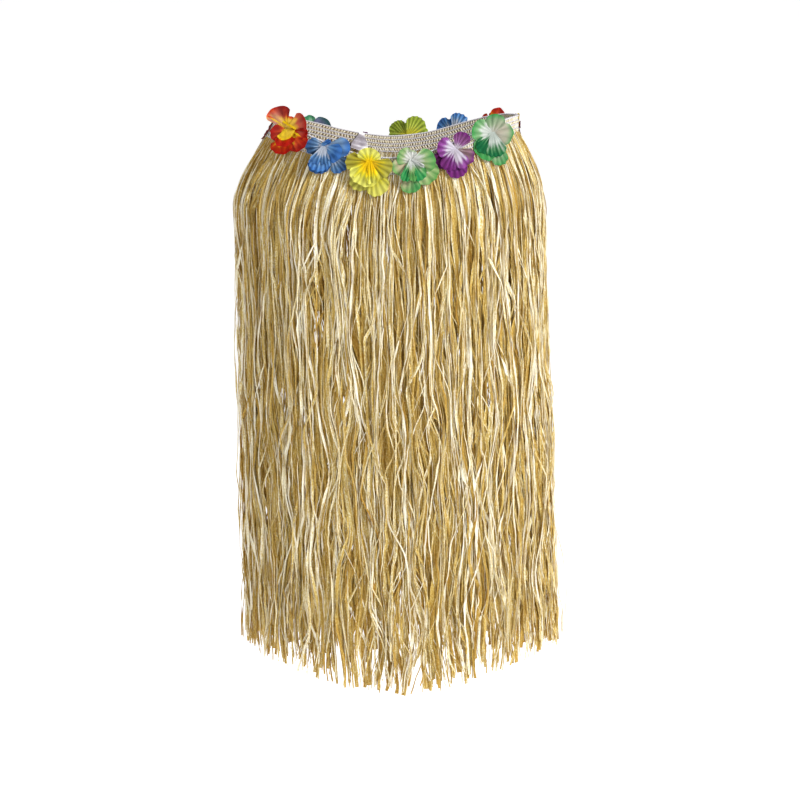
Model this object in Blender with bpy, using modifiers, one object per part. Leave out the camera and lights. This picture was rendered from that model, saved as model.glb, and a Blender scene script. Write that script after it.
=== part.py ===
"""A raffia grass skirt, filled out and open at the waist and the hem.

A knitted waistband carries two staggered layers of raffia strands, thirteen cloth flowers
sewn on its outer face, and a blank satin tag inside at the back.
Units are metres and +Z is up. The origin is the middle of the waist, where the skirt is held.
The front faces -Y. Angles go round the waist from its +X end, so the front is at -90 degrees.
"""

import math
import random

import bmesh
import bpy
import numpy as np
from mathutils import Vector

# Waistband: a loop with pinched ends, whose front and back hang lower than they do. Its -X
# end leans in at the top.
WAIST_HALF_WIDTH = 0.1837
WAIST_HALF_DEPTH = 0.095
WAIST_SHIFT = 0.0010
END_PINCH = 0.4
END_RISE = 0.0200
SAG_FRONT = 0.0445
SAG_BACK = 0.0424
SAG_POWER = 3.67
END_TILT = 0.0042
END_SKEW = -0.0021
LEFT_LEAN = math.radians(31.7)
LEAN_POWER = 4
BAND_HEIGHT = 0.026
BAND_WALL = 0.0020
RIB_RISE = 0.0006
RIB_COUNT = 5
BAND_STATIONS = 66
ANGLE_STEP = 0.001
LENGTH_STEPS = 720

# Fringe: both layers leave the band, flare over the hips and then hang nearly straight.
STRANDS_PER_LAYER = 110
STRAND_WALL = 0.0012
HEADING_HEIGHT = 0.005
SEAM_GAP = 0.0005
FRINGE_DROP = 0.772
HIP_DROP = 0.112
HIP_FLARE_SIDE = 0.0405
HIP_FLARE_FRONT = 0.028
HEM_FLARE_SIDE = 0.005
HEM_FLARE_FRONT = 0.002
HIP_SHIFT = -0.0035
HEM_SHIFT = 0.018
LAYER_OUT_ROOT = 0.0013
LAYER_OUT_HIP = 0.0040
WIDTH_SHARE_ROOT = 0.80
WIDTH_SHARE_HANG = 0.74
WIDTH_SHARE_TIP = 0.50
WAVE_WIDTH = 0.006
WAVES_ROUND = 3
WAVE_LENGTH = 0.45
STRAY_SIDEWAYS = 0.0005
STRAY_OUT = 0.0013
STRAY_TWIST = math.radians(9)
TIP_UNEVEN = 0.013

# Where each strand's rings lie, as shares of the fringe's drop, below its heading.
RING_DROPS = (0.036, 0.085, 0.155, 1.0)

# Flowers: a flat back layer and a smaller cupped front layer, five lobes each. An outline
# gives the rim's reach from the bottom of one notch round to just before the next.
FLOWER_RADIUS = 0.0320
PETAL_WALL = 0.0010
LOBES = 5
LOBE_OUTLINE_BACK = (0.76, 0.95, 1.00, 0.96)
LOBE_OUTLINE_FRONT = (0.72, 1.00, 0.96)
FRONT_LAYER_SIZE = 0.70
BACK_CUP = 0.005
FRONT_CUP = 0.014
CUP_CURVE = 1.5
RUFFLE = 0.0016
PETAL_RINGS = 2
LOWER_PETALS_LONGER = 0.12
SEWN_ON = 0.0004
LAYER_SEAT = 0.0007

FLOWER_COLUMNS = ("angle", "rise", "spin", "size", "colour")
FLOWERS = (
    (-148.1, 0.011, 8, 1.04, "red"),
    (-121.0, -0.002, 30, 0.98, "blue"),
    (-101.0, -0.008, 0, 1.02, "yellow"),
    (-81.6, -0.008, 20, 1.00, "green"),
    (-62.0, -0.003, 46, 0.94, "purple"),
    (-40.0, -0.006, 12, 0.98, "green"),
    (10.0, 0.000, 25, 0.60, "red"),
    (38.0, 0.000, 40, 0.80, "red"),
    (61.3, 0.004, 5, 0.90, "blue"),
    (83.5, 0.011, 33, 0.92, "lime"),
    (104.3, -0.012, 15, 0.84, "purple"),
    (129.0, -0.006, 50, 0.94, "teal"),
    (166.8, -0.002, 36, 0.76, "red"),
)

# Tag: a blank piece of satin ribbon, sewn inside the band at the back and hanging askew.
TAG_ANGLE = 106.4
TAG_WIDTH = 0.019
TAG_TOP = 0.0125
TAG_LENGTH = 0.026
TAG_SKEW = 0.006
TAG_CURL = 0.004
TAG_WALL = 0.0010
TAG_COLUMNS = 2
TAG_ROWS = 4

WELD = 1e-6

COLOURS = {
    "band": (0.72, 0.66, 0.52),
    "raffia": (0.66, 0.53, 0.30),
    "satin": (0.80, 0.79, 0.86),
    "red": (0.75, 0.06, 0.03),
    "blue": (0.07, 0.18, 0.62),
    "yellow": (0.90, 0.72, 0.06),
    "green": (0.08, 0.46, 0.17),
    "purple": (0.33, 0.06, 0.42),
    "lime": (0.46, 0.56, 0.05),
    "teal": (0.10, 0.38, 0.30),
}


def clear_scene():
    for thing in list(bpy.data.objects):
        bpy.data.objects.remove(thing)


def material(name, colour, roughness):
    """A Principled material, made once for each name."""
    found = bpy.data.materials.get(name)
    if found:
        return found
    made = bpy.data.materials.new(name)
    made.use_nodes = True
    shader = made.node_tree.nodes["Principled BSDF"]
    shader.inputs["Base Color"].default_value = (*colour, 1.0)
    shader.inputs["Roughness"].default_value = roughness
    shader.inputs["Metallic"].default_value = 0.0
    return made


def waist_middle(angle):
    """The point on the band's middle line at this angle."""
    cos, sin = math.cos(angle), math.sin(angle)
    sag = SAG_FRONT if sin < 0.0 else SAG_BACK
    tilt = END_TILT * cos + END_SKEW * sin * cos
    return Vector((
        WAIST_HALF_WIDTH * cos + WAIST_SHIFT,
        WAIST_HALF_DEPTH * sin * abs(sin) ** END_PINCH,
        END_RISE - sag * abs(sin) ** SAG_POWER + tilt,
    ))


def lean(angle):
    """How far the band leans in at its top there."""
    return LEFT_LEAN * (0.5 - 0.5 * math.cos(angle)) ** LEAN_POWER


def waist_axes(angle):
    """Unit vectors there: along the band, out from the wearer, and up the band's face."""
    before = waist_middle(angle - ANGLE_STEP)
    after = waist_middle(angle + ANGLE_STEP)
    along = (after - before).normalized()
    out = Vector((along.y, -along.x, 0.0)).normalized()
    tilt = lean(angle)
    return along, out, out.cross(along) * math.cos(tilt) - out * math.sin(tilt)


def waist_point(angle, out_by, up_by):
    _, out, up = waist_axes(angle)
    return waist_middle(angle) + out * out_by + up * up_by


def even_angles(count, first=0.0):
    """Angles that share the waist's length evenly, the first this share of a step past +X."""
    fine = np.linspace(0.0, 2.0 * math.pi, LENGTH_STEPS + 1)
    points = np.array([waist_middle(angle) for angle in fine])
    lengths = np.linalg.norm(np.diff(points, axis=0), axis=1)
    travelled = np.concatenate(([0.0], np.cumsum(lengths)))
    wanted = (np.arange(count) + first) / count * travelled[-1]
    return np.interp(wanted, travelled, fine)


def flare(angle, drop):
    """How far a strand has moved sideways from its root at this drop."""
    spread = math.sin(0.5 * math.pi * min(drop / HIP_DROP, 1.0))
    hem = max(drop - HIP_DROP, 0.0) / (FRINGE_DROP - HIP_DROP)
    side = HIP_FLARE_SIDE * spread + HEM_FLARE_SIDE * hem
    front = HIP_FLARE_FRONT * spread + HEM_FLARE_FRONT * hem
    shift = HIP_SHIFT * spread + HEM_SHIFT * hem
    return Vector((side * math.cos(angle) + shift, front * math.sin(angle), 0.0))


def layer_out(drop):
    """How far a layer's middle stands from the surface that both layers share."""
    spread = min(drop / HIP_DROP, 1.0)
    return LAYER_OUT_ROOT + (LAYER_OUT_HIP - LAYER_OUT_ROOT) * spread


def fringe_point(angle, drop, out_by):
    """A point on the fringe: straight below its root and moved by the flare."""
    root = waist_point(angle, out_by, -0.5 * BAND_HEIGHT - SEAM_GAP)
    return root + flare(angle, drop) - Vector((0.0, 0.0, drop))


def sheet_object(name, columns, rows, place, keep, wall, finish, collection):
    """A grid whose points go to place(column, row), welded where they meet and given a wall.

    keep(column, row) says which of the grid's faces stay.
    """
    grid = bmesh.new()
    bmesh.ops.create_grid(grid, x_segments=columns, y_segments=rows, size=1.0)
    grid.verts.ensure_lookup_table()
    cells = {}
    for face in grid.faces:
        middle = face.calc_center_median()
        column = int((middle.x + 1.0) * 0.5 * columns)
        row = int((middle.y + 1.0) * 0.5 * rows)
        cells[face] = (column, row)
    for vertex in grid.verts:
        column = round((vertex.co.x + 1.0) * 0.5 * columns)
        row = round((vertex.co.y + 1.0) * 0.5 * rows)
        vertex.co = place(column, row)
    unwanted = [face for face, cell in cells.items() if not keep(*cell)]
    bmesh.ops.delete(grid, geom=unwanted, context="FACES")
    bmesh.ops.remove_doubles(grid, verts=grid.verts, dist=WELD)
    bmesh.ops.recalc_face_normals(grid, faces=grid.faces)
    mesh = bpy.data.meshes.new(name)
    grid.to_mesh(mesh)
    grid.free()
    mesh.shade_smooth()
    mesh.materials.append(finish)
    made = bpy.data.objects.new(name, mesh)
    collection.objects.link(made)
    if wall:
        shell = made.modifiers.new("wall", "SOLIDIFY")
        shell.thickness = wall
        shell.offset = 0.0
    return made


def keep_all(column, row):
    return True


def band_section():
    """The band's cross-section as (out, up) pairs: zigzag ribs outside and a plain inside."""
    half_wall = 0.5 * BAND_WALL
    half_height = 0.5 * BAND_HEIGHT
    steps = 2 * RIB_COUNT
    section = []
    for step in range(steps + 1):
        rise = RIB_RISE if step % 2 else 0.0
        section.append((half_wall + rise, -half_height + BAND_HEIGHT * step / steps))
    section.append((-half_wall, half_height))
    section.append((-half_wall, -half_height))
    return section


def build_waistband(collection):
    section = band_section()
    angles = even_angles(BAND_STATIONS)

    def place(column, row):
        out_by, up_by = section[row % len(section)]
        return waist_point(angles[column % BAND_STATIONS], out_by, up_by)

    finish = material("band", COLOURS["band"], 0.85)
    sheet_object(
        "waistband", BAND_STATIONS, len(section), place, keep_all, 0.0, finish, collection
    )


def build_fringe(name, side, first, collection):
    """One layer of strands below one heading strip. side is 1 for the outer layer, -1 for the inner."""
    angles = even_angles(STRANDS_PER_LAYER, first)
    turn = 2.0 * math.pi
    stray = random.Random(name)
    strays = [
        [
            (
                stray.uniform(-STRAY_SIDEWAYS, STRAY_SIDEWAYS),
                stray.uniform(-STRAY_OUT, STRAY_OUT),
                stray.uniform(-STRAY_TWIST, STRAY_TWIST),
            )
            for _ in RING_DROPS
        ]
        for _ in angles
    ]
    uneven = [stray.uniform(-TIP_UNEVEN, TIP_UNEVEN) for _ in angles]
    rows = len(RING_DROPS) + 1

    def pitch(index, drop):
        """The distance to the next strand at this drop."""
        here = fringe_point(angles[index], drop, 0.0)
        after = angles[(index + 1) % STRANDS_PER_LAYER] + turn * (index == STRANDS_PER_LAYER - 1)
        return (fringe_point(after, drop, 0.0) - here).length

    def place(column, row):
        index = (column // 2) % STRANDS_PER_LAYER
        edge = -0.5 if column % 2 == 0 else 0.5
        angle = angles[index]
        along, out, _ = waist_axes(angle)
        level = Vector((along.x, along.y, 0.0)).normalized()
        if row <= 1:
            drop = HEADING_HEIGHT * row
            width = WIDTH_SHARE_ROOT * pitch(index, drop)
            centre = fringe_point(angle, drop, side * layer_out(drop))
            return centre + along * width * edge
        ring = row - 2
        drop = RING_DROPS[ring] * FRINGE_DROP
        if row == rows:
            drop += uneven[index]
        sideways, outward, twist = strays[index][ring]
        outward *= min(drop / HIP_DROP, 1.0)
        share = WIDTH_SHARE_TIP if row == rows else WIDTH_SHARE_HANG
        width = share * pitch(index, drop)
        phase = WAVES_ROUND * angle + turn * drop / WAVE_LENGTH
        sideways += WAVE_WIDTH * (drop / FRINGE_DROP) * math.sin(phase)
        centre = fringe_point(angle, drop, side * layer_out(drop) + outward)
        across = level * math.cos(twist) + out * math.sin(twist)
        return centre + level * sideways + across * width * edge

    def keep(column, row):
        return row == 0 or column % 2 == 0

    finish = material("raffia", COLOURS["raffia"], 0.60)
    sheet_object(
        name, 2 * STRANDS_PER_LAYER, rows, place, keep, STRAND_WALL, finish, collection
    )


def outer_face(angle, up_by):
    """How far out from the band's middle line the garment's surface lies at this height."""
    on_band = 0.5 * BAND_WALL + RIB_RISE
    below = max(-0.5 * BAND_HEIGHT - SEAM_GAP - up_by, 0.0)
    if below == 0.0:
        return on_band
    _, out, _ = waist_axes(angle)
    drop = below * math.cos(lean(angle))
    flared = flare(angle, drop).dot(out) - below * math.sin(lean(angle))
    on_fringe = flared + layer_out(drop) + 0.5 * STRAND_WALL + STRAY_OUT
    return max(on_band, on_fringe)


def build_petals(name, flower, outline, size, cup, stand, collection):
    """One five-lobed layer of a flower, sewn on by its middle and following the garment below."""
    angle = math.radians(flower["angle"])
    along, out, up = waist_axes(angle)
    spin = math.radians(flower["spin"])
    radius = FLOWER_RADIUS * flower["size"] * size
    steps = len(outline)
    columns = LOBES * steps
    cup *= flower["size"]

    def place(column, row):
        share = row / PETAL_RINGS
        around = 2.0 * math.pi * column / columns + spin
        reach = radius * share
        if row == PETAL_RINGS:
            reach *= outline[column % steps]
        reach *= 1.0 - LOWER_PETALS_LONGER * math.sin(around)
        sideways = reach * math.cos(around)
        up_by = flower["rise"] + reach * math.sin(around)
        ruffle = RUFFLE if column % 2 else -RUFFLE
        height = cup * share ** CUP_CURVE + ruffle * share
        surface = outer_face(angle, up_by) + stand + 0.5 * PETAL_WALL
        middle = waist_middle(angle) + out * (surface + height)
        return middle + along * sideways + up * up_by

    colour = flower["colour"]
    finish = material("petal_" + colour, COLOURS[colour], 0.55)
    sheet_object(name, columns, PETAL_RINGS, place, keep_all, PETAL_WALL, finish, collection)


def build_flowers(collection):
    for number, values in enumerate(FLOWERS, start=1):
        flower = dict(zip(FLOWER_COLUMNS, values))
        turned = dict(flower, spin=flower["spin"] + 180.0 / LOBES)
        name = f"flower_{number:02d}"
        build_petals(
            name + "_outer", flower, LOBE_OUTLINE_BACK, 1.0, BACK_CUP, SEWN_ON, collection
        )
        build_petals(
            name + "_inner", turned, LOBE_OUTLINE_FRONT, FRONT_LAYER_SIZE, FRONT_CUP,
            SEWN_ON + PETAL_WALL + LAYER_SEAT, collection,
        )


def build_tag(collection):
    angle = math.radians(TAG_ANGLE)
    along, out, up = waist_axes(angle)
    clear = 0.5 * BAND_WALL + SEAM_GAP + 0.5 * TAG_WALL

    def place(column, row):
        share = row / TAG_ROWS
        sideways = TAG_WIDTH * (column / TAG_COLUMNS - 0.5) + TAG_SKEW * share
        up_by = TAG_TOP - TAG_LENGTH * share
        inward = clear + TAG_CURL * share ** 2
        hugging = 0.5 * sideways ** 2 * WAIST_HALF_DEPTH / WAIST_HALF_WIDTH ** 2
        return waist_middle(angle) - out * (inward + hugging) + along * sideways + up * up_by

    finish = material("satin", COLOURS["satin"], 0.35)
    sheet_object(
        "tag", TAG_COLUMNS, TAG_ROWS, place, keep_all, TAG_WALL, finish, collection
    )


def main():
    clear_scene()
    collection = bpy.data.collections.new("grass_skirt")
    bpy.context.scene.collection.children.link(collection)
    build_waistband(collection)
    build_fringe("fringe_outer", 1, 0.0, collection)
    build_fringe("fringe_inner", -1, 0.5, collection)
    build_flowers(collection)
    build_tag(collection)


main()
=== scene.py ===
"""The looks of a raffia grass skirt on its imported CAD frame.

Units are metres, +Z is up, the front faces -Y and the origin is the middle of the waist.
Angles go round the waist from its +X end, so the front is at -90 degrees. The sizes of the
waist and the flare are the part's own, repeated here.
"""

import math

import bpy
import numpy as np
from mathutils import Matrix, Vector


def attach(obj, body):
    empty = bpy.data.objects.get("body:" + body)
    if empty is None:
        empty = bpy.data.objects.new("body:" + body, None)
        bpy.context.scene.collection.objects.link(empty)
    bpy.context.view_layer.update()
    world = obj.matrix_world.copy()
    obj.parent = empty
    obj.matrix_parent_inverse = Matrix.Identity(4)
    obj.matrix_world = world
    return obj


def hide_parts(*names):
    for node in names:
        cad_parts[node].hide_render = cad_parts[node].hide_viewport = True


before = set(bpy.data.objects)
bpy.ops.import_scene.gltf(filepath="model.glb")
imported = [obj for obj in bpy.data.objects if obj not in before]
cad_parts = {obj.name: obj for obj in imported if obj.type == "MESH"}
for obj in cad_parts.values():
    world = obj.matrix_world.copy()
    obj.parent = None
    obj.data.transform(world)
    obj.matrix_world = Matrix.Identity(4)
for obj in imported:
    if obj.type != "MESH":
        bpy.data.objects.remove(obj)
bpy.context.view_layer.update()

# Waist and flare, as in the part's source.
WAIST_HALF_WIDTH = 0.1837
WAIST_HALF_DEPTH = 0.095
WAIST_SHIFT = 0.0010
END_PINCH = 0.4
END_RISE = 0.0200
SAG_FRONT = 0.0445
SAG_BACK = 0.0424
SAG_POWER = 3.67
END_TILT = 0.0042
END_SKEW = -0.0021
LEFT_LEAN = math.radians(31.7)
LEAN_POWER = 4
BAND_HEIGHT = 0.026
FRINGE_DROP = 0.772
HIP_DROP = 0.112
HIP_FLARE_SIDE = 0.0405
HIP_FLARE_FRONT = 0.028
HEM_FLARE_SIDE = 0.005
HEM_FLARE_FRONT = 0.002
HIP_SHIFT = -0.0035
HEM_SHIFT = 0.018
ANGLE_STEP = 0.001
LENGTH_STEPS = 1440

SEED = 7

# Raffia ribbons. A pair is a range, or one value at the root and one further down.
RIBBON_RINGS = 92
RIBBON_POINTS = 4
RIBBON_WIDTH_SPREAD = 0.28
RIBBON_WIDTHS = (0.0016, 0.0110)
WIDTH_SHARES = (0.35, 1.8)
ROOT_TUCK = 0.0022
ROOT_WIDTH_SHARE = 0.62
ROOT_LENGTH = 0.030
PLACE_UNEVEN = 0.30
# Painted light on the ribbons' roots inside the back, where the band shades them: how much, how
# far down, and how sharply it gathers at the back.
BACK_ROOT_PAINTED_LIGHT = 0.70
BACK_ROOT_LENGTH = 0.045
BACK_STEEPNESS = 2.0
LAYER_OUT = (0.0014, 0.0058)
CLUMP_START = 0.055
CLUMP_KEEP = 0.84
CLUMP_CHANGE_SHARE = 0.55
CLUMP_STEPS = (-2, -1, 1, 2)
CLUMP_CHANGES = ((0.08, 0.28), (0.30, 0.48), (0.50, 0.68))
CLUMP_CHANGE_OVER = (0.045, 0.110)
CLUMP_BENDS = (0.045, 0.125)
OWN_BENDS = (0.035, 0.110)
OWN_KEEP = 0.72
ODD_SHARE = 0.05
ODD_SIZE = 2.2
OUT_STEP = (0.0002, 0.0016)
CRUMPLE_LENGTH = 0.012
CRUMPLE = 0.00065
CRUMPLE_START = 0.05
TURN_TRIES = 3
TURN_AT = (0.05, 0.76)
TURN_OVER = (0.015, 0.060)
TWIST_START = 0.020
FOLD_SPREAD = math.radians(48)
FOLD_WANDER = math.radians(28)
# How far apart the knots are between which a ribbon's width, twist, folds and tint wander.
WIDTH_KNOTS = 0.030
TWIST_KNOTS = 0.040
FOLD_KNOTS = 0.030
TINT_KNOTS = 0.070
HANG_TO_WAIST = 0.82
MOST_SLOPE = 0.40
TIP_UNEVEN = 0.012
TIP_WIDTHS = (0.55, 1.00)
TIP_TAPERS = (0.020, 0.120)
SHORT_SHARE = 0.45
SHORT_SHARES = (0.2, 1.0)
SHORT_BY = 0.048

# The ribbons come in three groups, from the dark inside to the bright outside. Their tints are
# partly the raffia's own uneven colour, partly painted shade on the inner ribbons and painted
# light on the outer ones. Steps are how far a bend leads the next one astray.
GROUP_COLUMNS = (
    "count", "clumps", "width", "uneven", "layer", "clump_step", "own_step", "twist", "turns",
    "tint", "tint_shape", "fade", "pull", "spread",
)
GROUPS = (
    (
        400, 100, 0.0063, 0.18, (-1.0, -0.1), (0.0026, 0.0056), (0.0014, 0.0056), 20, 0.25,
        (0.12, 0.36), (2.0, 2.0), 0.08, (0.80, 0.68), 0.0012,
    ),
    (
        440, 110, 0.0033, 0.24, (-0.3, 0.5), (0.0030, 0.0064), (0.0016, 0.0066), 34, 0.6,
        (0.10, 0.60), (1.6, 2.0), 0.14, (0.74, 0.55), 0.0014,
    ),
    (
        280, 66, 0.0026, 0.36, (0.3, 1.1), (0.0032, 0.0062), (0.0018, 0.0066), 40, 0.6,
        (0.60, 0.99), (1.6, 1.2), 0.27, (0.86, 0.68), 0.0021,
    ),
)

# Waves that all the ribbons follow together: how many round the waist, and metres down a wave.
SWAY_WAVES = ((5, 0.42), (7, 0.31), (9, 0.24), (12, 0.33), (15, 0.19), (19, 0.26), (24, 0.16))
SWAY_SIZE = 0.0013
SWAY_PHASE = 1.7

# Thin split fibres that stray from the ribbons.
WISPS = 320
WISP_RINGS = 64
WISP_WIDTH = 0.0013
WISP_WIDTHS = (0.5, 1.5)
WISP_SHORTER = (0.0, 0.08)
WISP_BENDS = (0.03, 0.09)
WISP_STEP = (0.0022, 0.0075)
WISP_KEEP = 0.80
WISP_LAYERS = (-0.4, 1.0)
WISP_OUT = (0.0012, 0.0077)
WISP_OUT_BENDS = (0.03, 0.10)
WISP_OUT_STEP = (0.0003, 0.0024)
WISP_KNOTS = 0.050
WISP_TWIST = 1.0
WISP_FOLD = 0.5
WISP_TINT_SHAPE = (2.0, 2.0)


def srgb(red, green, blue):
    """A linear colour from 0-255 display values."""
    shares = np.array([red, green, blue]) / 255.0
    linear = np.where(shares <= 0.04045, shares / 12.92, ((shares + 0.055) / 1.055) ** 2.4)
    return (*linear.tolist(), 1.0)


def tones(*rows):
    """Ramp stops from rows of place, red, green and blue."""
    return [(place, srgb(*colour)) for place, *colour in rows]


def stacked(*parts):
    """The parts side by side in a last axis."""
    return np.stack(np.broadcast_arrays(*parts), axis=-1)


def summed(steps):
    """The steps' running total, from nought."""
    return np.concatenate(([0.0], np.cumsum(steps)))


def between(ends, share):
    """From the first end at a share of 0 to the second at a share of 1."""
    return ends[0] + (ends[1] - ends[0]) * share


def ease(share):
    """The share held between 0 and 1, with a gentle start and end."""
    share = np.clip(share, 0.0, 1.0)
    return share * share * (3.0 - 2.0 * share)


# ---------------------------------------------------------------- the garment's surface


def waist_middle(angle):
    """Points on the band's middle line at these angles."""
    cos, sin = np.cos(angle), np.sin(angle)
    dip = np.where(sin < 0.0, SAG_FRONT, SAG_BACK) * np.abs(sin) ** SAG_POWER
    return stacked(
        WAIST_HALF_WIDTH * cos + WAIST_SHIFT,
        WAIST_HALF_DEPTH * sin * np.abs(sin) ** END_PINCH,
        END_RISE - dip + END_TILT * cos + END_SKEW * sin * cos,
    )


def lean(angle):
    """How far the band leans in at its top there."""
    return LEFT_LEAN * (0.5 - 0.5 * np.cos(angle)) ** LEAN_POWER


def unit(vectors):
    """The vectors, each at a length of 1."""
    return vectors / np.linalg.norm(vectors, axis=-1, keepdims=True)


def waist_axes(angle):
    """Unit vectors there: along the band, out from the wearer, and up the band's face."""
    along = unit(waist_middle(angle + ANGLE_STEP) - waist_middle(angle - ANGLE_STEP))
    out = unit(stacked(along[..., 1], -along[..., 0], 0.0))
    tilt = lean(angle)[..., None]
    return along, out, np.cross(out, along) * np.cos(tilt) - out * np.sin(tilt)


def waist_point(angle, out_by, up_by):
    """A point this far out from the band's middle line and up its face."""
    _, out, up = waist_axes(angle)
    return waist_middle(angle) + out * out_by[..., None] + up * up_by[..., None]


FINE_ANGLES = np.linspace(0.0, 2.0 * math.pi, LENGTH_STEPS + 1)
FINE_LENGTHS = summed(np.linalg.norm(np.diff(waist_middle(FINE_ANGLES), axis=0), axis=1))
WAIST_LENGTH = float(FINE_LENGTHS[-1])


def angle_at(travelled):
    """The angle at this length round the waist from its +X end."""
    return np.interp(np.mod(travelled, WAIST_LENGTH), FINE_LENGTHS, FINE_ANGLES)


def length_at(angle):
    """The length round the waist from its +X end to this angle."""
    return float(np.interp(angle % (2.0 * math.pi), FINE_ANGLES, FINE_LENGTHS))


def flare(angle, drop):
    """How far the fringe has moved sideways from its root at this drop."""
    spread = np.sin(0.5 * math.pi * np.clip(drop / HIP_DROP, 0.0, 1.0))
    hem = np.maximum(drop - HIP_DROP, 0.0) / (FRINGE_DROP - HIP_DROP)
    side = HIP_FLARE_SIDE * spread + HEM_FLARE_SIDE * hem
    front = HIP_FLARE_FRONT * spread + HEM_FLARE_FRONT * hem
    shift = HIP_SHIFT * spread + HEM_SHIFT * hem
    return stacked(side * np.cos(angle) + shift, front * np.sin(angle), 0.0)


def fringe_point(angle, drop, out_by):
    """A point on the fringe: straight below its root and moved by the flare."""
    root = waist_point(angle, out_by, np.full_like(out_by, -0.5 * BAND_HEIGHT + ROOT_TUCK))
    down = np.zeros_like(root)
    down[..., 2] = drop
    return root + flare(angle, drop) - down


# ---------------------------------------------------------------- meshes


def add_object(name, data):
    """An object with this data, in the scene."""
    made = bpy.data.objects.new(name, data)
    bpy.context.scene.collection.objects.link(made)
    return made


def mesh_object(name, points, faces, finish, uvs, uv_name, marks=None, smooth=True):
    """A mesh of quads. Each point has a UV and the named marks."""
    mesh = bpy.data.meshes.new(name)
    points = np.asarray(points, np.float32).reshape(-1, 3)
    mesh.vertices.add(len(points))
    mesh.vertices.foreach_set("co", points.ravel())
    mesh.loops.add(faces.size)
    mesh.loops.foreach_set("vertex_index", faces.astype(np.int32).ravel())
    mesh.polygons.add(len(faces))
    mesh.polygons.foreach_set("loop_start", np.arange(0, faces.size, 4, dtype=np.int32))
    layer = mesh.uv_layers.new(name=uv_name)
    uvs = np.asarray(uvs, np.float32).reshape(-1, 2)
    layer.uv.foreach_set("vector", uvs[faces.ravel()].ravel())
    for name_of_mark, values in (marks or {}).items():
        mark = mesh.attributes.new(name_of_mark, "FLOAT", "POINT")
        mark.data.foreach_set("value", np.asarray(values, np.float32).ravel())
    mesh.update(calc_edges=True)
    mesh.validate()
    if smooth:
        mesh.shade_smooth()
    else:
        mesh.shade_flat()
    mesh.materials.append(finish)
    return add_object(name, mesh)


def grid_faces(rows, columns, wrap_rows=False, wrap_columns=False):
    """Quads over a grid of points numbered row by row."""
    row = np.arange(rows if wrap_rows else rows - 1)[:, None]
    column = np.arange(columns if wrap_columns else columns - 1)[None, :]
    after_row = (row + 1) % rows
    after_column = (column + 1) % columns
    corners = [
        row * columns + column,
        row * columns + after_column,
        after_row * columns + after_column,
        after_row * columns + column,
    ]
    return stacked(*corners).reshape(-1, 4)


def many_grids(count, rows, columns, *wraps):
    """The faces of many equal grids, one after the other."""
    one = grid_faces(rows, columns, *wraps)
    return (one[None] + (np.arange(count) * rows * columns)[:, None, None]).reshape(-1, 4)


# ---------------------------------------------------------------- materials

# Colours in 0-255 display values. The first number of a tone is its place on the ramp.
RAFFIA_TONES = (
    (0.08, 168, 125, 42),
    (0.32, 189, 154, 70),
    (0.54, 212, 189, 110),
    (0.74, 245, 239, 205),
    (1.00, 255, 254, 244),
)
RAFFIA_GLOW = (228, 186, 100)
CORD_TONES = ((0.10, 156, 153, 160), (0.50, 202, 200, 208), (0.90, 232, 230, 236))
STITCH_TONES = ((0.15, 188, 170, 132), (0.45, 222, 212, 182), (0.80, 244, 239, 220))
CORE_PAINTED_SHADE_TONES = ((0.30, 82, 68, 54), (0.55, 112, 94, 72), (0.80, 142, 122, 94))
SATIN_TONES = ((0.30, 160, 154, 168), (0.70, 192, 187, 199))
SATIN_HIGHLIGHT = (244, 242, 248)
PETAL_LOOKS = {
    # heart, middle, rim, darker colour (darker dye and painted shade), back
    "red": ((238, 204, 20), (210, 72, 14), (176, 20, 6), (100, 6, 4), (186, 126, 114)),
    "blue": ((176, 184, 198), (94, 142, 192), (54, 106, 176), (36, 58, 84), (116, 144, 174)),
    "yellow": ((238, 196, 8), (208, 199, 44), (209, 208, 100), (136, 124, 28), (166, 150, 66)),
    "green": ((186, 194, 188), (114, 162, 112), (58, 138, 70), (10, 92, 52), (168, 162, 146)),
    "olive": ((204, 206, 204), (152, 176, 120), (94, 150, 76), (8, 130, 72), (184, 170, 140)),
    "purple": ((196, 190, 204), (138, 74, 148), (110, 38, 114), (72, 14, 66), (138, 116, 110)),
    "lime": ((200, 194, 56), (176, 188, 78), (146, 164, 56), (84, 104, 18), (152, 154, 94)),
    "teal": ((150, 186, 160), (70, 150, 100), (54, 96, 100), (18, 40, 46), (104, 110, 140)),
}


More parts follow.
